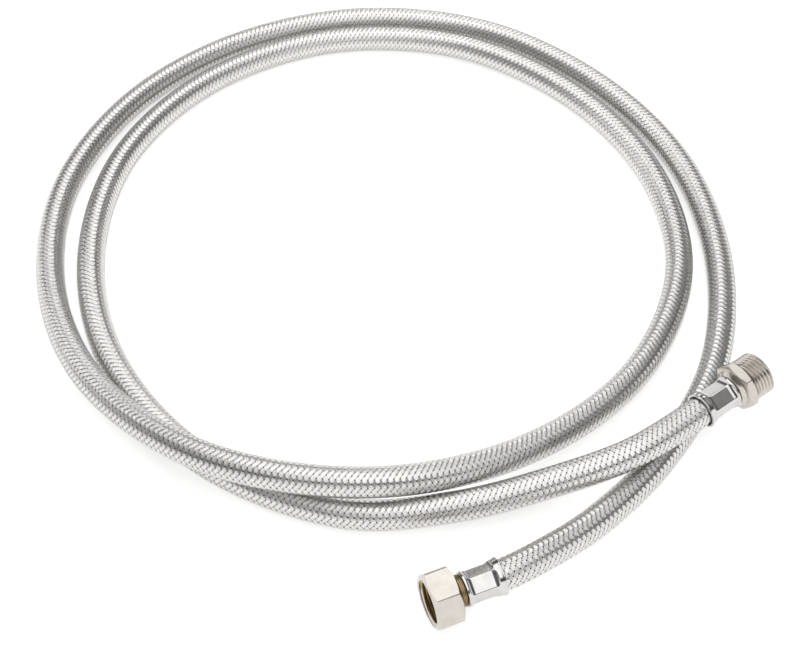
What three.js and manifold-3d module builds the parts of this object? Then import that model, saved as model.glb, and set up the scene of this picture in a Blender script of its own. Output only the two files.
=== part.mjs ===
// Braided supply line: a stainless-braided water hose with a swivel nut on one end and a fixed male
// thread on the other, lying loosely coiled. Millimetres, +Z up, lowest point of the nut at z = 0.
import * as THREE from 'three';
import { mergeVertices } from 'three/addons/utils/BufferGeometryUtils.js';
import Module from 'manifold-3d';

const wasm = await Module();
wasm.setup();

// ---------------------------------------------------------------- driving dimensions
const GAP = 0.3;                     // space left between two pieces that touch
const ROUND_SIDES = 24;              // facets round the turned pieces

const HOSE_DIAMETER = 14.4;          // outside of the braid
const HOSE_SIDES = 8;
const HOSE_STEPS = 80;
const BRAID_WALL = 0.9;
const RUBBER_WALL = 1.5;
const SQUEEZED_BRAID_WALL = 0.6;     // the same layers where the ferrule presses them
const SQUEEZED_RUBBER_WALL = 0.8;
const FLOOR_CLEARANCE = 0.2;

const FERRULE_LENGTH = 18;
const FERRULE_WALL = 0.6;
const CRIMP_ACROSS_FLATS = 12.8;
const CRIMP_START = 4.4;             // the pressed hexagon, measured from the hose mouth
const CRIMP_END = 15.2;
const CRIMP_TAPER = 2;
const BEAD_LENGTH = 1.1;
const BEAD_HEIGHT = 0.6;

const STEM_START = 2;                // the barbed stem's tip, measured from the hose mouth
const STEM_WALL = 0.75;
const BARBS = 4;
const BARB_HEIGHT = 0.35;
const SEAT_LENGTH = 1.5;             // the stem's shoulder inside the ferrule's end

const THREAD_DIAMETER = 20.955;      // G 1/2 pipe thread
const THREAD_PITCH = 1.814;
const THREAD_DEPTH_PER_PITCH = 0.640327;
const THREAD_CREST_WIDTH = 0.2;      // as a share of the pitch

const NUT_ACROSS_FLATS = 24;
const NUT_LENGTH = 13;
const NUT_BACK_WALL = 2.6;
const NUT_TRAVEL = 3;                // how far the nut slides back to the ferrule
const NUT_HOLE_CLEARANCE = 0.35;
const NUT_FACE_INSET = 0.9;          // the round end faces are this much inside the flats
const MALE_FACE_INSET = 0.4;
const MOUTH_CHAMFER = 0.6;

const COLLAR_LENGTH = 2.2;
const COLLAR_STEP = 1.85;            // how far the collar stands out of the neck
const NECK_GROOVES = 4;
const NECK_GROOVE_DEPTH = 0.3;
const GASKET_THICKNESS = 2;
const GASKET_HOLE_RADIUS = 5;

const MALE_ACROSS_FLATS = 22;
const MALE_HEX_LENGTH = 4.6;
const SHOULDER_LENGTH = 1.9;
const SHOULDER_RADIUS = 8;
const MALE_THREAD_LENGTH = 11.5;
const MALE_BORE_RADIUS = 6;
const MALE_BORE_DEPTH = 10;

// Where the hose leaves its two ferrules, and which way the male end points.
const NUT_MOUTH = new THREE.Vector3(-60, -20, NUT_ACROSS_FLATS / 2);
const MALE_MOUTH = new THREE.Vector3(57.4, 16.0, 25);
const MALE_YAW = THREE.MathUtils.degToRad(12);
const MALE_RISE = THREE.MathUtils.degToRad(6);

// The hose's way from the nut's ferrule to the male ferrule: x, y, and how far it is lifted off the
// floor. It makes two and a third turns and is lifted where it lies over itself.
const ROUTE = [
  [-45, -18.5, 4.2], [-6.5, -9.5, 1.4], [39, 11, 0.3], [88.5, 49.5, 0], [128, 114.5, 0],
  [143, 187.5, 0], [129, 262, 0], [89.5, 325.5, 0], [24.5, 364, 0], [-50, 369.5, 0],
  [-120.5, 343.5, 0], [-174, 290, 0.2], [-199, 220, 1.5], [-195, 145, 8], [-159, 79.5, 15],
  [-95, 39.5, 14.2], [-20.5, 35, 5], [50, 58, 0.8], [103.5, 110.5, 0], [124.5, 182.5, 0],
  [112, 256.5, 0], [69.5, 319, 0], [1.5, 351, 0], [-73.5, 344, 0], [-136, 303.5, 0],
  [-173.5, 238.5, 0], [-183, 164, 0], [-161, 92, 0.1], [-111, 38.5, 0.3], [-65, 21, 2.5],
  [-21, 13, 7.6], [20, 9.5, 14],
];

// ---------------------------------------------------------------- sizes that follow
const HOSE_RADIUS = HOSE_DIAMETER / 2;
const RUBBER_RADIUS = HOSE_RADIUS - BRAID_WALL - GAP;
const CRIMP_BORE_RADIUS = CRIMP_ACROSS_FLATS / 2 - FERRULE_WALL;
const SQUEEZED_BRAID_RADIUS = CRIMP_BORE_RADIUS - GAP;
const SQUEEZED_RUBBER_RADIUS = SQUEEZED_BRAID_RADIUS - SQUEEZED_BRAID_WALL - GAP;
const STEM_RADIUS = SQUEEZED_RUBBER_RADIUS - SQUEEZED_RUBBER_WALL - GAP;
const STEM_BORE_RADIUS = STEM_RADIUS - BARB_HEIGHT - STEM_WALL;
const THREAD_MAJOR_RADIUS = THREAD_DIAMETER / 2;
const THREAD_MINOR_RADIUS = THREAD_MAJOR_RADIUS - THREAD_DEPTH_PER_PITCH * THREAD_PITCH;
const FERRULE_MOUTH_RADIUS = HOSE_RADIUS + GAP;
const FERRULE_RADIUS = FERRULE_MOUTH_RADIUS + FERRULE_WALL;
const HOSE_INSERTION = 2.5;          // how far the full-size hose reaches into its ferrule
const BORE_NARROWS_AT = CRIMP_START - FERRULE_WALL / 2;
const HOSE_END = FERRULE_LENGTH - SEAT_LENGTH - GAP;
const SEAT_END = FERRULE_LENGTH + GAP;
const NUT_BACK = FERRULE_LENGTH + GAP + NUT_TRAVEL;
const NUT_FRONT = NUT_BACK + NUT_LENGTH;
const COLLAR_BACK = NUT_BACK + NUT_BACK_WALL + GAP;
const COLLAR_FRONT = COLLAR_BACK + COLLAR_LENGTH;
const COLLAR_RADIUS = THREAD_MINOR_RADIUS - GAP;
const NECK_RADIUS = COLLAR_RADIUS - COLLAR_STEP;
const GASKET_BACK = COLLAR_FRONT + GAP;
const HEX_BACK = SEAT_END + SHOULDER_LENGTH;
const HEX_FRONT = HEX_BACK + MALE_HEX_LENGTH;
const MALE_TIP = HEX_FRONT + MALE_THREAD_LENGTH;

// ---------------------------------------------------------------- solids
// A geometry of closed surfaces becomes a solid: only the shared corners are kept.
function toSolid(geometry) {
  const bare = geometry.clone();
  bare.deleteAttribute('normal');
  bare.deleteAttribute('uv');
  const merged = mergeVertices(bare, 1e-4);
  const corners = merged.index.array;
  const kept = [];
  for (let i = 0; i < corners.length; i += 3) {
    const [a, b, c] = [corners[i], corners[i + 1], corners[i + 2]];
    if (a !== b && b !== c && c !== a) kept.push(a, b, c);
  }
  const mesh = new wasm.Mesh({
    numProp: 3,
    vertProperties: new Float32Array(merged.attributes.position.array),
    triVerts: new Uint32Array(kept),
  });
  return new wasm.Manifold(mesh);
}

function toGeometry(solid) {
  const mesh = solid.getMesh();
  const geometry = new THREE.BufferGeometry();
  geometry.setAttribute('position', new THREE.BufferAttribute(new Float32Array(mesh.vertProperties), 3));
  geometry.setIndex(new THREE.BufferAttribute(new Uint32Array(mesh.triVerts), 1));
  geometry.computeVertexNormals();
  return geometry;
}

// A solid turned round the X axis from an outline of [x, radius] corners that starts and ends on it.
function turned(outline, sides = ROUND_SIDES) {
  const points = outline.map(([x, radius]) => new THREE.Vector2(radius, x));
  const geometry = new THREE.LatheGeometry(points, sides);
  geometry.rotateZ(-Math.PI / 2);
  return toSolid(geometry);
}

function rod(radius, from, to, sides = ROUND_SIDES) {
  return turned([[from, 0], [from, radius], [to, radius], [to, 0]], sides);
}

// A hexagonal bar along X. With no turn, two of its flats face up and down.
function hexBar(acrossFlats, from, to, turn = 0) {
  const radius = acrossFlats / 2 / Math.cos(Math.PI / 6);
  const bar = new THREE.CylinderGeometry(radius, radius, to - from, 6);
  bar.rotateY(Math.PI / 6);
  bar.rotateZ(-Math.PI / 2);
  bar.rotateX(turn);
  bar.translate((from + to) / 2, 0, 0);
  return toSolid(bar);
}

// A hexagonal bar whose corners are turned off at both ends, as on a nut.
function chamferedHex(acrossFlats, from, to, faceInset) {
  const corner = acrossFlats / 2 / Math.cos(Math.PI / 6);
  const face = acrossFlats / 2 - faceInset;
  const slope = (corner - face) * Math.tan(Math.PI / 6);
  const envelope = turned([
    [from, 0], [from, face], [from + slope, corner], [to - slope, corner], [to, face], [to, 0],
  ]);
  return hexBar(acrossFlats, from, to).intersect(envelope);
}

// The outline of a thread as V-shaped rings, as many as fit between from and to.
function threadOutline(from, to) {
  const rings = Math.floor((to - from) / THREAD_PITCH);
  const corners = [];
  for (let i = rings; i > 0; i--) {
    const x = to - i * THREAD_PITCH;
    const flank = THREAD_PITCH * (1 - THREAD_CREST_WIDTH) / 2;
    corners.push([x, THREAD_MINOR_RADIUS], [x + flank, THREAD_MAJOR_RADIUS]);
    corners.push([x + THREAD_PITCH - flank, THREAD_MAJOR_RADIUS]);
  }
  return corners;
}

// ---------------------------------------------------------------- the two ends' places
const nutEnd = new THREE.Group();
nutEnd.position.copy(NUT_MOUTH);
nutEnd.rotation.z = Math.PI;
nutEnd.updateMatrixWorld();

const maleEnd = new THREE.Group();
maleEnd.position.copy(MALE_MOUTH);
maleEnd.rotation.set(0, -MALE_RISE, MALE_YAW, 'ZYX');
maleEnd.updateMatrixWorld();

// ---------------------------------------------------------------- hose
function hosePath() {
  const start = nutEnd.localToWorld(new THREE.Vector3(HOSE_INSERTION, 0, 0));
  const end = maleEnd.localToWorld(new THREE.Vector3(HOSE_INSERTION, 0, 0));
  const rest = HOSE_RADIUS + FLOOR_CLEARANCE;
  const free = ROUTE.map(([x, y, lift]) => new THREE.Vector3(x, y, rest + lift));
  return new THREE.CatmullRomCurve3([start, NUT_MOUTH, ...free, MALE_MOUTH, end], false, 'centripetal');
}

function sweep(radius) {
  const section = [];
  for (let i = 0; i < HOSE_SIDES; i++) {
    const angle = (i / HOSE_SIDES) * 2 * Math.PI;
    section.push(new THREE.Vector2(radius * Math.cos(angle), radius * Math.sin(angle)));
  }
  const options = { steps: HOSE_STEPS, bevelEnabled: false, extrudePath: hosePath() };
  return toSolid(new THREE.ExtrudeGeometry(new THREE.Shape(section), options));
}

// One round layer's outside or inside: the free hose, then narrowed into each ferrule up to end.
function hoseBody(freeRadius, squeezedRadius, narrowAt, end) {
  const inFerrule = freeRadius - GAP;
  const outline = [
    [1, 0], [1, inFerrule], [narrowAt, inFerrule],
    [narrowAt + CRIMP_TAPER, squeezedRadius], [end, squeezedRadius], [end, 0],
  ];
  const atNut = turned(outline).transform(nutEnd.matrix.toArray());
  const atMale = turned(outline).transform(maleEnd.matrix.toArray());
  return sweep(freeRadius).add(atNut).add(atMale);
}

// A hollow layer; walls are its thickness in the free hose and where it is squeezed.
function hoseLayer(radius, squeezedRadius, walls, narrowAt) {
  const [wall, squeezedWall] = walls;
  const outside = hoseBody(radius, squeezedRadius, narrowAt, HOSE_END);
  const inside = hoseBody(radius - wall, squeezedRadius - squeezedWall, narrowAt - wall, HOSE_END + 1);
  return outside.subtract(inside);
}

function braidSleeve() {
  const walls = [BRAID_WALL, SQUEEZED_BRAID_WALL];
  const sleeve = hoseLayer(HOSE_RADIUS, SQUEEZED_BRAID_RADIUS, walls, BORE_NARROWS_AT);
  const room = rod(HOSE_RADIUS - BRAID_WALL, 1, HOSE_INSERTION + GAP);
  const atNut = room.transform(nutEnd.matrix.toArray());
  return sleeve.subtract(atNut).subtract(room.transform(maleEnd.matrix.toArray()));
}

function rubberHose() {
  const walls = [RUBBER_WALL, SQUEEZED_RUBBER_WALL];
  return hoseLayer(RUBBER_RADIUS, SQUEEZED_RUBBER_RADIUS, walls, BORE_NARROWS_AT - BRAID_WALL - GAP);
}

// ---------------------------------------------------------------- ends, each along its own +X,
// which points from the hose's mouth (x = 0) out to the fitting's mouth
function ferrule() {
  const flat = CRIMP_ACROSS_FLATS / 2;
  const outside = turned([
    [0, 0], [0, FERRULE_RADIUS], [BEAD_LENGTH * 0.4, FERRULE_RADIUS + BEAD_HEIGHT],
    [BEAD_LENGTH, FERRULE_RADIUS], [CRIMP_START, FERRULE_RADIUS], [CRIMP_START + CRIMP_TAPER, flat],
    [CRIMP_END - CRIMP_TAPER / 2, flat], [CRIMP_END + CRIMP_TAPER / 2, FERRULE_RADIUS],
    [FERRULE_LENGTH, FERRULE_RADIUS], [FERRULE_LENGTH, 0],
  ]);
  const pressed = hexBar(CRIMP_ACROSS_FLATS, CRIMP_START + CRIMP_TAPER / 2, CRIMP_END, Math.PI / 6);
  const bore = turned([
    [-1, 0], [-1, FERRULE_MOUTH_RADIUS], [BORE_NARROWS_AT, FERRULE_MOUTH_RADIUS],
    [BORE_NARROWS_AT + CRIMP_TAPER, CRIMP_BORE_RADIUS],
    [FERRULE_LENGTH + 1, CRIMP_BORE_RADIUS], [FERRULE_LENGTH + 1, 0],
  ]);
  return outside.add(pressed).subtract(bore);
}

// The corners of the barbed stem inside the hose, up to the shoulder in the ferrule's end.
function stemOutline() {
  const seatBack = HOSE_END + GAP;
  const step = (seatBack - STEM_START) / (BARBS + 1);
  const corners = [[STEM_START, 0]];
  for (let i = 0; i < BARBS; i++) {
    const x = STEM_START + i * step;
    corners.push([x, STEM_RADIUS - BARB_HEIGHT], [x + step * 0.9, STEM_RADIUS]);
  }
  const last = STEM_START + BARBS * step;
  corners.push([last, STEM_RADIUS - BARB_HEIGHT], [seatBack, STEM_RADIUS - BARB_HEIGHT]);
  corners.push([seatBack, SQUEEZED_BRAID_RADIUS], [SEAT_END, SQUEEZED_BRAID_RADIUS]);
  return corners;
}

function nutTail() {
  const outline = [...stemOutline(), [SEAT_END, NECK_RADIUS]];
  const groove = NUT_TRAVEL / (2 * NECK_GROOVES + 1);
  for (let i = 0; i < NECK_GROOVES; i++) {
    const x = SEAT_END + (2 * i + 1) * groove;
    const bottom = NECK_RADIUS - NECK_GROOVE_DEPTH;
    outline.push([x, NECK_RADIUS], [x + groove * 0.2, bottom]);
    outline.push([x + groove * 0.8, bottom], [x + groove, NECK_RADIUS]);
  }
  outline.push([COLLAR_BACK, NECK_RADIUS], [COLLAR_BACK, COLLAR_RADIUS]);
  outline.push([COLLAR_FRONT, COLLAR_RADIUS], [COLLAR_FRONT, 0]);
  return turned(outline).subtract(rod(STEM_BORE_RADIUS, 0, COLLAR_FRONT + 1));
}

function gasket() {
  const back = GASKET_BACK;
  const front = GASKET_BACK + GASKET_THICKNESS;
  return rod(COLLAR_RADIUS, back, front).subtract(rod(GASKET_HOLE_RADIUS, back - 1, front + 1));
}

function nut() {
  const cavityBack = NUT_BACK + NUT_BACK_WALL;
  const bore = turned([
    [NUT_BACK - 1, 0], [NUT_BACK - 1, NECK_RADIUS + NUT_HOLE_CLEARANCE],
    [cavityBack, NECK_RADIUS + NUT_HOLE_CLEARANCE], [cavityBack, THREAD_MINOR_RADIUS],
    ...threadOutline(GASKET_BACK, NUT_FRONT - MOUTH_CHAMFER),
    [NUT_FRONT - MOUTH_CHAMFER, THREAD_MINOR_RADIUS], [NUT_FRONT, THREAD_MAJOR_RADIUS],
    [NUT_FRONT + 1, THREAD_MAJOR_RADIUS], [NUT_FRONT + 1, 0],
  ]);
  return chamferedHex(NUT_ACROSS_FLATS, NUT_BACK, NUT_FRONT, NUT_FACE_INSET).subtract(bore);
}

function maleFitting() {
  const face = MALE_ACROSS_FLATS / 2 - MALE_FACE_INSET;
  const body = turned([
    ...stemOutline(), [SEAT_END, SHOULDER_RADIUS], [HEX_BACK, face], [HEX_BACK + GAP, face],
    [HEX_BACK + GAP, THREAD_MINOR_RADIUS],
    ...threadOutline(HEX_FRONT, MALE_TIP - MOUTH_CHAMFER),
    [MALE_TIP - MOUTH_CHAMFER, THREAD_MINOR_RADIUS], [MALE_TIP, THREAD_MINOR_RADIUS - MOUTH_CHAMFER],
    [MALE_TIP, 0],
  ]);
  const hex = chamferedHex(MALE_ACROSS_FLATS, HEX_BACK, HEX_FRONT, MALE_FACE_INSET);
  const wideBore = rod(MALE_BORE_RADIUS, MALE_TIP - MALE_BORE_DEPTH, MALE_TIP + 1);
  return body.add(hex).subtract(wideBore).subtract(rod(STEM_BORE_RADIUS, 0, MALE_TIP));
}

// ---------------------------------------------------------------- assembly
const FINISHES = {
  nickel: { color: 0xded6cc, roughness: 0.3, metalness: 1 },
  brass: { color: 0x9a7b4a, roughness: 0.45, metalness: 1 },
  stainless: { color: 0xcfcfce, roughness: 0.2, metalness: 1 },
  braid: { color: 0xbfbdb9, roughness: 0.35, metalness: 0.9 },
  rubber: { color: 0x1b1b1b, roughness: 0.8, metalness: 0 },
  fibre: { color: 0x2c2a28, roughness: 0.85, metalness: 0 },
};

function addPiece(group, name, solid, finish) {
  const mesh = new THREE.Mesh(toGeometry(solid), new THREE.MeshStandardMaterial(FINISHES[finish]));
  mesh.name = name;
  group.add(mesh);
}

const supplyLine = new THREE.Group();
supplyLine.add(nutEnd, maleEnd);
addPiece(supplyLine, 'braid', braidSleeve(), 'braid');
addPiece(supplyLine, 'inner_hose', rubberHose(), 'rubber');
addPiece(nutEnd, 'nut_ferrule', ferrule(), 'stainless');
addPiece(nutEnd, 'nut_tail', nutTail(), 'brass');
addPiece(nutEnd, 'nut_gasket', gasket(), 'fibre');
addPiece(nutEnd, 'swivel_nut', nut(), 'nickel');
addPiece(maleEnd, 'male_ferrule', ferrule(), 'stainless');
addPiece(maleEnd, 'male_fitting', maleFitting(), 'nickel');

export default supplyLine;
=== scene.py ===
from math import cos, pi, radians, sin, sqrt, tan

import bmesh
import bpy
import numpy as np
from mathutils import Matrix, Vector


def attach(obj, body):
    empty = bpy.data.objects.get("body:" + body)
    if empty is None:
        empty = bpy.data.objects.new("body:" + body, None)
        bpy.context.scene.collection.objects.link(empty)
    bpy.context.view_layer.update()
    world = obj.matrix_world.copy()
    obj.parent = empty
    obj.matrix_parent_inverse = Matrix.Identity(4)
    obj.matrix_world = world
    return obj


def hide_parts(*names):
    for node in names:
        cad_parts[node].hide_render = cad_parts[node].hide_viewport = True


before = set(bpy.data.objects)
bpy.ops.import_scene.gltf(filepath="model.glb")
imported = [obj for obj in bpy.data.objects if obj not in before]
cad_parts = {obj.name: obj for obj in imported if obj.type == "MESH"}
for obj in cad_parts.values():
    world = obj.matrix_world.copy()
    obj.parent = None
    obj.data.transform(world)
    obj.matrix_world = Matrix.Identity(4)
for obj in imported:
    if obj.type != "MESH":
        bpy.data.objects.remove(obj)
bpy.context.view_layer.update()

# ------------------------------------------------------------------ sizes, in metres
MM = 0.001

HOSE_DIAMETER = 0.0144
HOSE_RADIUS = HOSE_DIAMETER / 2
RESTING_HEIGHT = HOSE_RADIUS + 0.0002

NUT_MOUTH = Vector((-0.06, -0.02, 0.012))
MALE_MOUTH = Vector((0.0574, 0.016, 0.025))
NUT_END = Matrix.Translation(NUT_MOUTH) @ Matrix.Rotation(pi, 4, "Z")
MALE_END = (
    Matrix.Translation(MALE_MOUTH)
    @ Matrix.Rotation(radians(12), 4, "Z")
    @ Matrix.Rotation(radians(-6), 4, "Y")
)
HOSE_INSERTION = 0.0025

# The hose's way from the nut's ferrule to the male ferrule: x, y, and its lift off the floor.
ROUTE = [
    (-0.045, -0.0185, 0.0042), (-0.0065, -0.0095, 0.0014), (0.039, 0.011, 0.0003), (0.0885, 0.0495, 0),
    (0.128, 0.1145, 0), (0.143, 0.1875, 0), (0.129, 0.262, 0), (0.0895, 0.3255, 0), (0.0245, 0.364, 0),
    (-0.05, 0.3695, 0), (-0.1205, 0.3435, 0), (-0.174, 0.29, 0.0002), (-0.199, 0.22, 0.0015),
    (-0.195, 0.145, 0.008), (-0.159, 0.0795, 0.015), (-0.095, 0.0395, 0.0142), (-0.0205, 0.035, 0.005),
    (0.05, 0.058, 0.0008), (0.1035, 0.1105, 0), (0.1245, 0.1825, 0), (0.112, 0.2565, 0),
    (0.0695, 0.319, 0), (0.0015, 0.351, 0), (-0.0735, 0.344, 0), (-0.136, 0.3035, 0),
    (-0.1735, 0.2385, 0), (-0.183, 0.164, 0), (-0.161, 0.092, 0.0001), (-0.111, 0.0385, 0.0003),
    (-0.065, 0.021, 0.0025), (-0.021, 0.013, 0.0076), (0.02, 0.0095, 0.014),
]

# The braid: twelve flat bands of wire wound each way, two over and two under. Between two crossings
# a band is wide, pinched and wide again, which leaves a small dark hole at each pinch.
BANDS_EACH_WAY = 12
WIRES_IN_A_BAND = 7
BAND_LEAD = 0.033
STEPS_TO_A_CROSSING = 10
PINCHED_STEP = 5
WIDE_STEPS = (3, 7)
BAND_WIDTH = 0.00226
PINCHED_WIDTH = 0.00138
BAND_THICKNESS = 0.00012
OVER_RADIUS = 0.00716
UNDER_RADIUS = 0.00700
TUBE_RADIUS = 0.00662
MOUTH_NARROWING = 0.03

# Along each end's own X, in millimetres from the hose's mouth out to the fitting's mouth.
FERRULE_LENGTH = 18.0
SEAT_END = 18.3
NUT_BACK = 21.3
NUT_FRONT = 34.3
NUT_ACROSS_FLATS = 24.0
NECK_RADIUS = 7.166
NECK_GROOVES, GROOVE_PITCH, GROOVE_WIDTH, GROOVE_FLOOR = 4, 0.7, 0.41, 6.3
NECK_PLAY = 0.35
COLLAR_BACK, COLLAR_FRONT = 24.2, 26.4
COLLAR_RADIUS = 9.016
WASHER_BACK, WASHER_FRONT = 26.7, 28.7
MALE_HEX_BACK, MALE_HEX_FRONT, MALE_TIP = 20.2, 24.8, 36.3
MALE_ACROSS_FLATS = 22.0
THREAD_MINOR, THREAD_MAJOR, THREAD_PITCH = 9.316, 10.478, 1.814
STEM_BORE = 2.4


# ------------------------------------------------------------------ camera
def aim_camera():
    data = bpy.data.cameras.new("camera")
    data.lens = 63.4
    data.sensor_width = 36
    camera = bpy.data.objects.new("camera", data)
    camera.location = (-0.2171, -0.2837, 0.5423)
    camera.rotation_euler = (radians(40), 0, radians(-22.5))
    bpy.context.scene.collection.objects.link(camera)
    bpy.context.scene.camera = camera


aim_camera()


# ------------------------------------------------------------------ node materials
def new_material(name):
    material = bpy.data.materials.new(name)
    material.use_nodes = True
    nodes, links = material.node_tree.nodes, material.node_tree.links
    return material, nodes, links, nodes["Principled BSDF"]


def noise(nodes, links, source, scale, detail=3.0, roughness=0.55):
    node = nodes.new("ShaderNodeTexNoise")
    node.inputs["Scale"].default_value = scale
    node.inputs["Detail"].default_value = detail
    node.inputs["Roughness"].default_value = roughness
    links.new(source, node.inputs["Vector"])
    return node.outputs["Fac"]


def ramp(nodes, links, factor, stops):
    node = nodes.new("ShaderNodeValToRGB")
    elements = node.color_ramp.elements
    while len(elements) < len(stops):
        elements.new(0.5)
    for element, (place, colour) in zip(elements, stops):
        element.position = place
        element.color = (*colour, 1)
    links.new(factor, node.inputs["Fac"])
    return node.outputs["Color"]


def spread(nodes, links, factor, low, high):
    node = nodes.new("ShaderNodeMapRange")
    node.inputs["To Min"].default_value = low
    node.inputs["To Max"].default_value = high
    links.new(factor, node.inputs["Value"])
    return node.outputs["Result"]


def calculated(nodes, links, operation, first, second=None):
    node = nodes.new("ShaderNodeMath")
    node.operation = operation
    for socket, value in zip(node.inputs, (first, second)):
        if value is None:
            continue
        if isinstance(value, (int, float)):
            socket.default_value = value
        else:
            links.new(value, socket)
    return node.outputs["Value"]


def bump(nodes, links, height, strength, depth):
    node = nodes.new("ShaderNodeBump")
    node.inputs["Strength"].default_value = strength
    node.inputs["Distance"].default_value = depth
    links.new(height, node.inputs["Height"])
    return node.outputs["Normal"]


def stretched(nodes, links, source, scale):
    node = nodes.new("ShaderNodeMapping")
    node.inputs["Scale"].default_value = scale
    links.new(source, node.inputs["Vector"])
    return node.outputs["Vector"]


def plated_metal(name, light, shade, roughness, grain):
    """Machined metal: a slow change of tone, fine turning marks round X and a slightly uneven gloss."""
    material, nodes, links, shader = new_material(name)
    place = nodes.new("ShaderNodeTexCoord").outputs["Object"]
    cloud = noise(nodes, links, place, 180, 4)
    marks = noise(nodes, links, stretched(nodes, links, place, (9000, 500, 500)), 1, 2)
    colour = ramp(nodes, links, cloud, [(0.3, shade), (0.7, light)])
    links.new(colour, shader.inputs["Base Color"])
    gloss = calculated(nodes, links, "ADD", spread(nodes, links, cloud, -0.05, 0.05),
                       spread(nodes, links, marks, roughness - 0.06, roughness + 0.06))
    links.new(gloss, shader.inputs["Roughness"])
    links.new(bump(nodes, links, marks, grain, 0.00002), shader.inputs["Normal"])
    shader.inputs["Metallic"].default_value = 1
    return material


def drawn_wire():
    """Bright wires side by side, with painted shade between them and at a band's edges; U runs across a
    band.
    """
    material, nodes, links, shader = new_material("drawn_wire")
    coordinates = nodes.new("ShaderNodeTexCoord")
    split = nodes.new("ShaderNodeSeparateXYZ")
    links.new(coordinates.outputs["UV"], split.inputs["Vector"])
    across = split.outputs["X"]
    crown = calculated(nodes, links, "SINE", calculated(nodes, links, "MULTIPLY", across, pi))
    turns = calculated(nodes, links, "MULTIPLY", across, WIRES_IN_A_BAND * pi)
    wires = calculated(nodes, links, "ABSOLUTE", calculated(nodes, links, "SINE", turns))
    cloud = noise(nodes, links, coordinates.outputs["Object"], 260, 3)
    tone = nodes.new("ShaderNodeAttribute")
    tone.attribute_name = "tone"
    cloudy = spread(nodes, links, cloud, 0.85, 1.1)
    light = calculated(nodes, links, "MULTIPLY", tone.outputs["Fac"], cloudy)
    # painted shade: the colour darkens in the grooves between the wires
    light = calculated(nodes, links, "MULTIPLY", light, spread(nodes, links, wires, 0.8, 1.0))
    # painted shade: the colour darkens towards both edges of each band
    edge_shade = calculated(nodes, links, "POWER", crown, 0.05)
    light = calculated(nodes, links, "MULTIPLY", light, edge_shade)
    colour = ramp(nodes, links, light, [(0.1, (0.05, 0.05, 0.05)), (0.85, (0.66, 0.65, 0.63))])
    links.new(colour, shader.inputs["Base Color"])
    links.new(spread(nodes, links, cloud, 0.21, 0.29), shader.inputs["Roughness"])
    links.new(bump(nodes, links, wires, 0.4, 0.00005), shader.inputs["Normal"])
    shader.inputs["Metallic"].default_value = 1
    return material


def black_rubber(name):
    material, nodes, links, shader = new_material(name)
    place = nodes.new("ShaderNodeTexCoord").outputs["Object"]
    grain = noise(nodes, links, place, 3000, 3)
    colour = ramp(nodes, links, grain, [(0.3, (0.006, 0.006, 0.006)), (0.7, (0.016, 0.016, 0.016))])
    links.new(colour, shader.inputs["Base Color"])
    links.new(spread(nodes, links, grain, 0.5, 0.75), shader.inputs["Roughness"])
    links.new(bump(nodes, links, grain, 0.3, 0.00005), shader.inputs["Normal"])
    return material


NICKEL = plated_metal("satin_nickel", (0.58, 0.545, 0.50), (0.51, 0.475, 0.43), 0.24, 0.25)
BARE_BRASS = plated_metal("bare_brass", (0.50, 0.37, 0.215), (0.30, 0.215, 0.12), 0.34, 0.3)
STAINLESS = plated_metal("polished_stainless", (0.62, 0.61, 0.595), (0.54, 0.53, 0.515), 0.12, 0.12)
WIRE = drawn_wire()
TUBE_RUBBER = black_rubber("tube_rubber")
WASHER_RUBBER = black_rubber("washer_rubber")


# ------------------------------------------------------------------ hose line
def centripetal_curve(points, per_span):
    """The smooth curve through points, as close steps."""
    points = [np.array(p, float) for p in points]
    points = [2 * points[0] - points[1], *points, 2 * points[-1] - points[-2]]
    curve = []
    for p0, p1, p2, p3 in zip(points, points[1:], points[2:], points[3:]):
        d0, d1, d2 = (np.linalg.norm(b - a) ** 0.5 for a, b in ((p0, p1), (p1, p2), (p2, p3)))
        leave = ((p1 - p0) / d0 - (p2 - p0) / (d0 + d1) + (p2 - p1) / d1) * d1
        arrive = ((p2 - p1) / d1 - (p3 - p1) / (d1 + d2) + (p3 - p2) / d2) * d1
        for i in range(per_span):
            t = i / per_span
            curve.append(
                p1 + leave * t + (3 * (p2 - p1) - 2 * leave - arrive) * t**2
                + (2 * (p1 - p2) + leave + arrive) * t**3
            )
    curve.append(points[-2])
    return np.array(curve)


def even_steps(curve, step):
    """Points a step apart along the curve, with the direction at each and two directions across it."""
    lengths = np.concatenate([[0], np.cumsum(np.linalg.norm(np.diff(curve, axis=0), axis=1))])
    places = np.arange(0, lengths[-1], step)
    points = np.stack([np.interp(places, lengths, curve[:, k]) for k in range(3)], axis=1)
    along = np.gradient(points, axis=0)
    along /= np.linalg.norm(along, axis=1)[:, None]
    across = np.empty_like(points)
    across[0] = np.cross(along[0], (0, 0, 1))
    for i in range(1, len(points)):
        across[i] = across[i - 1] - along[i] * np.dot(across[i - 1], along[i])
        across[i] /= np.linalg.norm(across[i])
    across[0] /= np.linalg.norm(across[0])
    return points, along, across, np.cross(along, across), lengths[-1]


def hose_line():
    start = NUT_END @ Vector((HOSE_INSERTION, 0, 0))
    end = MALE_END @ Vector((HOSE_INSERTION, 0, 0))
    free = [(x, y, RESTING_HEIGHT + lift) for x, y, lift in ROUTE]
    return centripetal_curve([start, NUT_MOUTH, *free, MALE_MOUTH, end], 60)


def linked(name, mesh):
    piece = bpy.data.objects.new(name, mesh)
    bpy.context.scene.collection.objects.link(piece)
    return piece


# ------------------------------------------------------------------ braid
def drawn_in(line):
    """How far in each step is drawn where the hose goes into its ferrules, as a share of its radius."""
    count, length = len(line[0]), line[4]
    place = np.linspace(0, length, count)
    from_mouth = np.minimum(place, length - place) - HOSE_INSERTION
    outside = np.minimum((from_mouth - 0.0012) / 0.0005, 100)
    return 1 - MOUTH_NARROWING / (1 + np.exp(outside))


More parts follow.
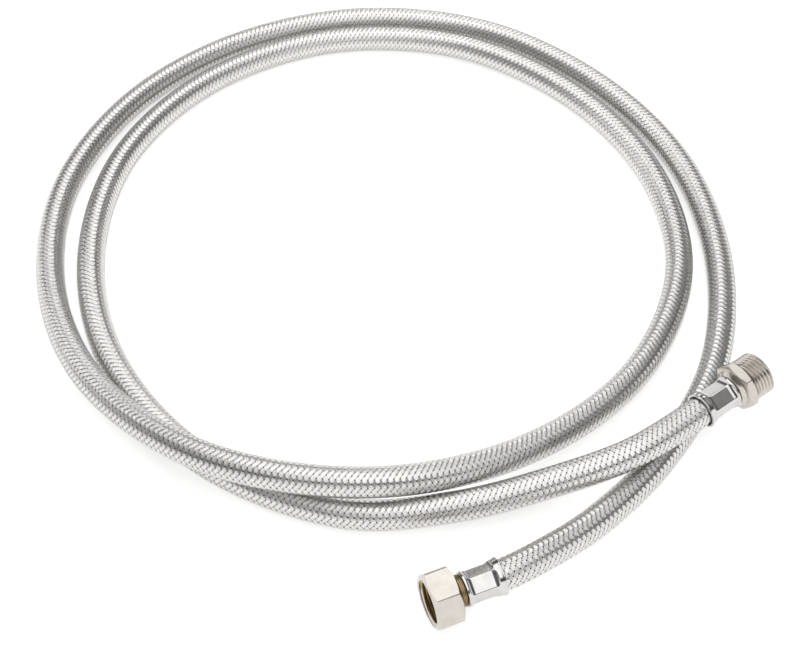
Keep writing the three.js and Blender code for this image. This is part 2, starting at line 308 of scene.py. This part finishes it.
def band_rings(line, kept, hand, band):
    """The two edges and the keel of a band at each kept step, shape (steps, 3, 3)."""
    points, along, side, up = (values[kept] for values in line[:4])
    turn = kept / STEPS_TO_A_CROSSING
    slope = 2 * pi * OVER_RADIUS / BAND_LEAD
    lean = 2 * slope / (1 + slope**2)
    width = np.where(kept % STEPS_TO_A_CROSSING == PINCHED_STEP, PINCHED_WIDTH, BAND_WIDTH)
    reach = width[:, None] / 2 / lean
    sag = (reach * slope / sqrt(1 + slope**2)) ** 2 / (2 * OVER_RADIUS)
    angle = 2 * pi * (hand * turn / (2 * BANDS_EACH_WAY) + band / BANDS_EACH_WAY)
    lift = hand * np.clip(np.cos(pi / 2 * (2 * band + hand * turn - 0.5)) * sqrt(2), -1, 1)
    radius = (OVER_RADIUS + UNDER_RADIUS) / 2 + lift * (OVER_RADIUS - UNDER_RADIUS) / 2
    radius = (radius * drawn_in(line)[kept])[:, None] - sag
    outward = np.cos(angle)[:, None] * side + np.sin(angle)[:, None] * up
    round_about = -np.sin(angle)[:, None] * side + np.cos(angle)[:, None] * up
    across = (hand * along - slope * round_about) / sqrt(1 + slope**2)
    middle = points + outward * radius
    keel = middle - outward * BAND_THICKNESS
    return np.stack([middle - across * reach, middle + across * reach, keel], axis=1)


def band_faces(first, count):
    """The long faces of a band whose rings start at vertex first, with U at their corners."""
    faces, across_uv = [], []
    ring = first + 3 * np.arange(count - 1)
    for k, (near, far) in enumerate(((0, 1), (1, 0.98), (0.02, 0))):
        n = (k + 1) % 3
        faces.append(np.stack([ring + k, ring + 3 + k, ring + 3 + n, ring + n], axis=1))
        across_uv.append(np.tile([near, near, far, far], count - 1))
    return faces, across_uv


def wound_bands(name, line, hand, bands):
    """Bands wound one way, each lying over two and then under two of the other way's.

    Each band is a flat strip with a shallow keel. Its cross steps run the way the other bands do, so
    that a step which is pinched at both edges opens a hole on each side."""
    steps = np.arange(len(line[0]))
    kept = steps[np.isin(steps % STEPS_TO_A_CROSSING, (PINCHED_STEP, *WIDE_STEPS))]
    count = len(kept)
    vertices, faces, across_uv, tones, ends = [], [], [], [], []
    shades = np.random.default_rng(7 + hand)
    for band in bands:
        first = len(vertices) * count * 3
        last = first + 3 * (count - 1)
        vertices.append(band_rings(line, kept, hand, band).reshape(-1, 3))
        tones.append(np.full(count * 3, shades.uniform(0.9, 1.0)))
        long_faces, long_uv = band_faces(first, count)
        faces += long_faces
        across_uv += long_uv
        ends += [[first, first + 1, first + 2], [last + 2, last + 1, last]]
    faces = np.concatenate(faces)
    mesh = bpy.data.meshes.new(name)
    mesh.from_pydata(np.concatenate(vertices).tolist(), [], faces.tolist() + ends)
    corner_ids = np.concatenate([faces.reshape(-1), np.array(ends).reshape(-1)])
    lengthwise = (corner_ids % (count * 3)) // 3 / (6.0 * BANDS_EACH_WAY)
    across_uv = np.concatenate([*across_uv, np.full(3 * len(ends), 0.01)])
    uv = np.stack([across_uv, lengthwise], axis=1)
    mesh.uv_layers.new(name="bands").data.foreach_set("uv", uv.reshape(-1))
    mesh.attributes.new("tone", "FLOAT", "POINT").data.foreach_set("value", np.concatenate(tones))
    mesh.shade_smooth()
    mesh.attributes.new("sharp_edge", "BOOLEAN", "EDGE").data.foreach_set("value", rims(mesh))
    mesh.materials.append(WIRE)
    return linked(name, mesh)


def rims(mesh):
    """Which of the mesh's edges run along a band's two edges."""
    pairs = np.zeros(2 * len(mesh.edges), int)
    mesh.edges.foreach_get("vertices", pairs)
    pairs = pairs.reshape(-1, 2)
    return (np.abs(pairs[:, 0] - pairs[:, 1]) == 3) & (pairs[:, 0] % 3 < 2)


def rubber_tube(line):
    """The black tube that shows through the gaps of the braid."""
    points, along, side, up, _ = line
    sides = 16
    angles = 2 * pi * np.arange(sides) / sides
    chosen = np.append(np.arange(0, len(points) - 1, 3 * STEPS_TO_A_CROSSING), len(points) - 1)
    radii = TUBE_RADIUS * drawn_in(line)
    rings = [points[i] + radii[i] * (np.cos(angles)[:, None] * side[i] + np.sin(angles)[:, None] * up[i])
             for i in chosen]
    bm = bmesh.new()
    previous = None
    for ring in rings:
        corners = [bm.verts.new(p) for p in ring]
        if previous:
            for k in range(sides):
                n = (k + 1) % sides
                bm.faces.new((previous[k], previous[n], corners[n], corners[k]))
        else:
            bm.faces.new(corners[::-1])
        previous = corners
    bm.faces.new(previous)
    mesh = bpy.data.meshes.new("rubber_tube")
    bmesh.ops.recalc_face_normals(bm, faces=bm.faces)
    bm.to_mesh(mesh)
    bm.free()
    mesh.shade_smooth()
    mesh.materials.append(TUBE_RUBBER)
    return linked("rubber_tube", mesh)


curve = hose_line()
line = even_steps(curve, BAND_LEAD / (2 * BANDS_EACH_WAY * STEPS_TO_A_CROSSING))
thirds = [(letter, range(first, BANDS_EACH_WAY, 3)) for first, letter in enumerate("abc")]
right_bands = [wound_bands(f"right_hand_bands_{letter}", line, 1, bands) for letter, bands in thirds]
left_bands = [wound_bands(f"left_hand_bands_{letter}", line, -1, bands) for letter, bands in thirds]
tube = rubber_tube(line)
for piece in (*right_bands, *left_bands, tube):
    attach(piece, "line")
    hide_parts("inner_hose" if piece == tube else "braid")


# ------------------------------------------------------------------ turned and pressed metal
def turned(outline, steps=96, closed=False):
    """A shell turned round X from [x, radius] corners in millimetres; a closed outline leaves a bore."""
    bm = bmesh.new()
    corners = [bm.verts.new((x * MM, 0, radius * MM)) for x, radius in outline]
    pairs = list(zip(corners, corners[1:])) + ([(corners[-1], corners[0])] if closed else [])
    edges = [bm.edges.new(pair) for pair in pairs]
    bmesh.ops.spin(bm, geom=corners + edges, axis=(1, 0, 0), cent=(0, 0, 0), angle=2 * pi,
                   steps=steps, use_merge=True)
    return mended(bm)


def mended(bm):
    bmesh.ops.remove_doubles(bm, verts=bm.verts, dist=1e-7)
    bmesh.ops.dissolve_degenerate(bm, edges=bm.edges, dist=1e-8)
    bmesh.ops.recalc_face_normals(bm, faces=bm.faces)
    return bm


def rod(radius, start, end, steps=96):
    return turned([(start, 0), (start, radius), (end, radius), (end, 0)], steps)


def hex_bar(across_flats, start, end, corner_width):
    """A hexagonal bar along X, flats up and down, with its long corners a little rounded."""
    bm = bmesh.new()
    radius = across_flats / 2 / cos(pi / 6) * MM
    bmesh.ops.create_cone(bm, cap_ends=True, segments=6, radius1=radius, radius2=radius,
                          depth=(end - start) * MM)
    long_corners = [e for e in bm.edges if abs(e.verts[0].co.z - e.verts[1].co.z) > MM]
    bmesh.ops.bevel(bm, geom=long_corners, offset=corner_width * MM, offset_type="OFFSET",
                    affect="EDGES", segments=3, profile=0.5, material=-1)
    bmesh.ops.rotate(bm, verts=bm.verts, matrix=Matrix.Rotation(pi / 2, 3, "Y"))
    bmesh.ops.translate(bm, verts=bm.verts, vec=((start + end) / 2 * MM, 0, 0))
    return mended(bm)


def screw(start, end, steps=60):
    """A rod with one helical pipe thread, cut square at both ends."""
    bm = bmesh.new()
    shares = [(0, 0), (0.06, 0), (0.16, 0.12), (0.42, 0.94), (0.47, 1), (0.53, 1), (0.58, 0.94),
              (0.84, 0.12), (0.94, 0), (1, 0)]
    depth = THREAD_MAJOR - THREAD_MINOR
    first = start - 1.5 * THREAD_PITCH
    corners = [bm.verts.new(((first + share * THREAD_PITCH) * MM, 0, (THREAD_MINOR + rise * depth) * MM))
               for share, rise in shares]
    edges = [bm.edges.new(pair) for pair in zip(corners, corners[1:])]
    turns = int((end - start) / THREAD_PITCH) + 3
    bmesh.ops.spin(bm, geom=corners + edges, axis=(1, 0, 0), cent=(0, 0, 0), angle=2 * pi * turns,
                   dvec=(THREAD_PITCH * MM / steps, 0, 0), steps=steps * turns)
    bmesh.ops.remove_doubles(bm, verts=bm.verts, dist=1e-7)
    for x, outward in ((start, -1), (end, 1)):
        bmesh.ops.bisect_plane(bm, geom=[*bm.verts, *bm.edges, *bm.faces], dist=1e-7,
                               plane_co=(x * MM, 0, 0), plane_no=(outward, 0, 0), clear_outer=True)
    bmesh.ops.holes_fill(bm, edges=[e for e in bm.edges if e.is_boundary])
    return mended(bm)


def combined(bm, tool, operation):
    """bm after the tool is joined to it, cut from it, or has only their shared part kept."""
    pair = []
    for shape in (bm, tool):
        mesh = bpy.data.meshes.new("blank")
        shape.to_mesh(mesh)
        shape.free()
        pair.append(linked("blank", mesh))
    cutter = pair[0].modifiers.new("cut", "BOOLEAN")
    cutter.object, cutter.operation, cutter.solver = pair[1], operation, "EXACT"
    result = bmesh.new()
    result.from_mesh(pair[0].evaluated_get(bpy.context.evaluated_depsgraph_get()).to_mesh())
    for blank in pair:
        bpy.data.meshes.remove(blank.data)
    return mended(result)


def chamfered_hex(across_flats, start, end, corner_width, face_inset):
    """A hexagonal bar with both ends turned off at 30 degrees down to face_inset inside its flats."""
    corner = across_flats / 2 / cos(pi / 6)
    face = across_flats / 2 - face_inset
    slope = (corner - face) * tan(pi / 6)
    turned_off = turned([(start, 0), (start, face), (start + slope, corner), (end - slope, corner),
                         (end, face), (end, 0)], 144)
    return combined(hex_bar(across_flats, start, end, corner_width), turned_off, "INTERSECT")


def brass_lined(bm, start, end):
    """Faces that look at the axis between start and end are bare brass: plating doesn't reach them."""
    for face in bm.faces:
        x, y, z = face.calc_center_median() / MM
        inward = face.normal.y * y + face.normal.z * z < -0.2 * sqrt(y * y + z * z)
        if inward and start < x < end and sqrt(y * y + z * z) < THREAD_MAJOR + 0.1:
            face.material_index = 1
    return bm


def fitted(name, bm, place, body, slot, finish, *nodes):
    """The finished piece in its place, smooth but for its real edges."""
    bm.transform(place)
    for face in bm.faces:
        face.smooth = True
    for edge in bm.edges:
        edge.smooth = edge.calc_face_angle(0) < radians(32)
    mesh = bpy.data.meshes.new(name)
    bm.to_mesh(mesh)
    bm.free()
    mesh.materials.append(finish)
    piece = linked(name, mesh)
    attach(piece, body)
    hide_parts(*nodes)
    return piece


def rounded_edges(piece, width):
    bevel = piece.modifiers.new("worn_edges", "BEVEL")
    bevel.width = width * MM
    bevel.segments = 2
    bevel.limit_method = "ANGLE"
    bevel.angle_limit = radians(32)
    bevel.harden_normals = True


# ------------------------------------------------------------------ ferrules
def pressed_ferrule():
    """A thin cup with a beaded mouth, its middle pressed to a hexagon by a six-jaw die."""
    wall_out, crimp_corner, crimp_flat = 8.08, 7.3, 6.38
    die_start, die_end, die_edge, die_run_out = 5.6, 14.2, 3.2, 3.0
    bead_end, cap_start = 0.9, 17.35
    outline = [(0.1, 7.5), (0.0, 7.75), (0.0, 8.3), (0.1, 8.55), (0.3, 8.68), (0.55, 8.7), (0.8, 8.62)]
    rings = 64
    for i in range(1, rings):
        x = bead_end + (cap_start - bead_end) * i / rings
        outside = max(die_start - x, x - die_end, 0)
        squeeze = 0.5 + 0.5 * cos(pi * min(outside / die_run_out, 1))
        flare = 0.5 * max(0, 1 - (x - bead_end) / 2.4) ** 1.5
        outline.append((x, wall_out + (crimp_corner - wall_out) * squeeze + flare))
    outline += [(cap_start, wall_out), (17.7, 7.98), (17.93, 7.72), (FERRULE_LENGTH, 7.35),
                (FERRULE_LENGTH, 5.8), (6.1, 5.8), (4.1, 7.5)]
    bm = turned(outline, 144, closed=True)
    for vertex in bm.verts:
        x, y, z = vertex.co / MM
        radius = sqrt(y * y + z * z)
        outside = max(die_start - x, x - die_end, 0)
        if radius < 6 or outside > 2.6:
            continue
        flat = crimp_flat + die_edge - sqrt(die_edge**2 - outside**2)
        off_flat = (np.arctan2(z, y) + pi / 6) % (pi / 3) - pi / 6
        reach = flat / cos(off_flat)
        if radius > reach:
            vertex.co.y *= reach / radius
            vertex.co.z *= reach / radius
    return bm


for name, place, node in (("nut_side_ferrule", NUT_END, "nut_ferrule"),
                          ("male_side_ferrule", MALE_END, "male_ferrule")):
    fitted(name, pressed_ferrule(), place, "line", "ferrule_steel", STAINLESS, node)


# ------------------------------------------------------------------ stems, tail and washer
def stem_outline():
    """The barbed stem inside the hose, up to the shoulder in the ferrule's end."""
    corners = [(2.0, STEM_BORE)]
    for i in range(4):
        corners += [(2.0 + i * 2.9, 3.15), (2.0 + i * 2.9 + 2.6, 3.5)]
    return corners + [(13.6, 3.15), (16.5, 3.15), (16.5, 5.5), (SEAT_END, 5.5)]


def nut_tail():
    """The stem, the grooved neck the nut turns on, and the collar that holds the nut."""
    outline = [*stem_outline(), (SEAT_END, 6.9), (SEAT_END + 0.12, NECK_RADIUS)]
    for i in range(NECK_GROOVES):
        x = SEAT_END + 0.3 + i * GROOVE_PITCH
        outline += [(x, NECK_RADIUS), (x + 0.05, GROOVE_FLOOR),
                    (x + GROOVE_WIDTH - 0.05, GROOVE_FLOOR), (x + GROOVE_WIDTH, NECK_RADIUS)]
    outline += [(COLLAR_BACK, NECK_RADIUS), (COLLAR_BACK, COLLAR_RADIUS - 0.2),
                (COLLAR_BACK + 0.2, COLLAR_RADIUS), (COLLAR_FRONT - 0.2, COLLAR_RADIUS),
                (COLLAR_FRONT, COLLAR_RADIUS - 0.2), (COLLAR_FRONT, STEM_BORE)]
    return turned(outline, 96, closed=True)


def washer():
    soft = 0.25
    outline = []
    for x, radius, dx, dr in ((WASHER_BACK, 5.0, 1, 1), (WASHER_BACK, COLLAR_RADIUS, 1, -1),
                              (WASHER_FRONT, COLLAR_RADIUS, -1, -1), (WASHER_FRONT, 5.0, -1, 1)):
        along, inward = (x + dx * soft, radius), (x, radius + dr * soft)
        outline += [along, inward] if (dx, dr) in ((1, 1), (-1, -1)) else [inward, along]
    return turned(outline, 96, closed=True)


fitted("grooved_tail", nut_tail(), NUT_END, "line", "tail_brass", BARE_BRASS, "nut_tail")
fitted("sealing_washer", washer(), NUT_END, "washer", "washer_rubber", WASHER_RUBBER, "nut_gasket")


# ------------------------------------------------------------------ swivel nut and male fitting
def swivel_nut():
    body = chamfered_hex(NUT_ACROSS_FLATS, NUT_BACK, NUT_FRONT, 0.7, 0.9)
    body = combined(body, rod(NECK_RADIUS + NECK_PLAY, NUT_BACK - 1, NUT_BACK + 4), "DIFFERENCE")
    body = combined(body, screw(NUT_BACK + 2.6, NUT_FRONT + 1), "DIFFERENCE")
    mouth = turned([(NUT_FRONT - 1.1, 0), (NUT_FRONT - 1.1, THREAD_MINOR - 0.2),
                    (NUT_FRONT + 0.1, THREAD_MAJOR + 0.35), (NUT_FRONT + 0.1, 0)], 96)
    return brass_lined(combined(body, mouth, "DIFFERENCE"), NUT_BACK, NUT_FRONT - 1.15)


def male_fitting():
    thread = screw(MALE_HEX_FRONT - 0.6, MALE_TIP + 0.6)
    envelope = turned([(MALE_HEX_FRONT - 0.5, 0), (MALE_HEX_FRONT - 0.5, THREAD_MAJOR + 1),
                       (MALE_TIP - 1.0, THREAD_MAJOR + 0.1), (MALE_TIP, THREAD_MINOR - 0.35),
                       (MALE_TIP, 0)], 96)
    hexagon = chamfered_hex(MALE_ACROSS_FLATS, MALE_HEX_BACK, MALE_HEX_FRONT, 0.5, 0.3)
    body = combined(combined(thread, envelope, "INTERSECT"), hexagon, "UNION")
    shoulder = turned([(2.0, 0), *stem_outline(), (SEAT_END, 7.6), (SEAT_END + 0.25, 8.0),
                       (MALE_HEX_BACK - 0.1, 9.2), (MALE_HEX_BACK + 0.5, 9.2), (MALE_HEX_BACK + 0.5, 0)])
    body = combined(body, shoulder, "UNION")
    body = combined(body, rod(6.0, MALE_TIP - 10, MALE_TIP + 1), "DIFFERENCE")
    return brass_lined(combined(body, rod(STEM_BORE, 0, MALE_TIP, 48), "DIFFERENCE"), SEAT_END, MALE_TIP)


nut = fitted("hex_swivel_nut", swivel_nut(), NUT_END, "nut", "nickel", NICKEL, "swivel_nut")
male = fitted("male_end_fitting", male_fitting(), MALE_END, "line", "nickel", NICKEL, "male_fitting")
for piece, width in ((nut, 0.12), (male, 0.1)):
    piece.data.materials.append(BARE_BRASS)
    rounded_edges(piece, width)


# ------------------------------------------------------------------ floor and light
def floor():
    bm = bmesh.new()
    bmesh.ops.create_grid(bm, x_segments=2, y_segments=2, size=3)
    mesh = bpy.data.meshes.new("floor")
    bm.to_mesh(mesh)
    bm.free()
    material, nodes, links, shader = new_material("white_paper")
    shader.inputs["Base Color"].default_value = (0.93, 0.93, 0.93, 1)
    shader.inputs["Roughness"].default_value = 0.9
    shader.inputs["Emission Color"].default_value = (1, 1, 1, 1)
    shader.inputs["Emission Strength"].default_value = 0.5
    mesh.materials.append(material)
    linked("floor", mesh)


def soft_box(name, place, aim, size, power):
    data = bpy.data.lights.new(name, "AREA")
    data.shape, data.size, data.size_y, data.energy = "RECTANGLE", size[0], size[1], power
    lamp = bpy.data.objects.new(name, data)
    lamp.location = place
    lamp.rotation_euler = (Vector(aim) - Vector(place)).to_track_quat("-Z", "Y").to_euler()
    bpy.context.scene.collection.objects.link(lamp)


def studio():
    world = bpy.data.worlds.new("studio")
    bpy.context.scene.world = world
    world.use_nodes = True
    nodes, links = world.node_tree.nodes, world.node_tree.links
    way = nodes.new("ShaderNodeSeparateXYZ")
    links.new(nodes.new("ShaderNodeTexCoord").outputs["Generated"], way.inputs["Vector"])
    front = calculated(nodes, links, "MINIMUM", way.outputs["Y"], 0)
    lowered = calculated(nodes, links, "MULTIPLY", front, 0.3)
    level = calculated(nodes, links, "ADD", way.outputs["Z"], lowered)
    greys = [(0.0, 1.0), (0.15, 0.95), (0.21, 0.06), (0.5, 0.11), (0.75, 0.38)]
    sky = ramp(nodes, links, level, [(height, (grey, grey, grey)) for height, grey in greys])
    links.new(sky, nodes["Background"].inputs["Color"])
    nodes["Background"].inputs["Strength"].default_value = 1.35
    soft_box("overhead", (0.02, 0.25, 1.2), (0.02, 0.25, 0), (1.0, 2.6), 10)
    soft_box("back_left", (-1.0, 1.3, 1.0), (-0.1, 0.2, 0), (0.7, 0.6), 3.2)
    soft_box("back_right", (0.8, 1.5, 1.1), (0, 0.2, 0), (0.7, 0.6), 3.2)
    scene = bpy.context.scene
    scene.view_settings.view_transform = "Standard"
    scene.view_settings.look = "None"


floor()
studio()
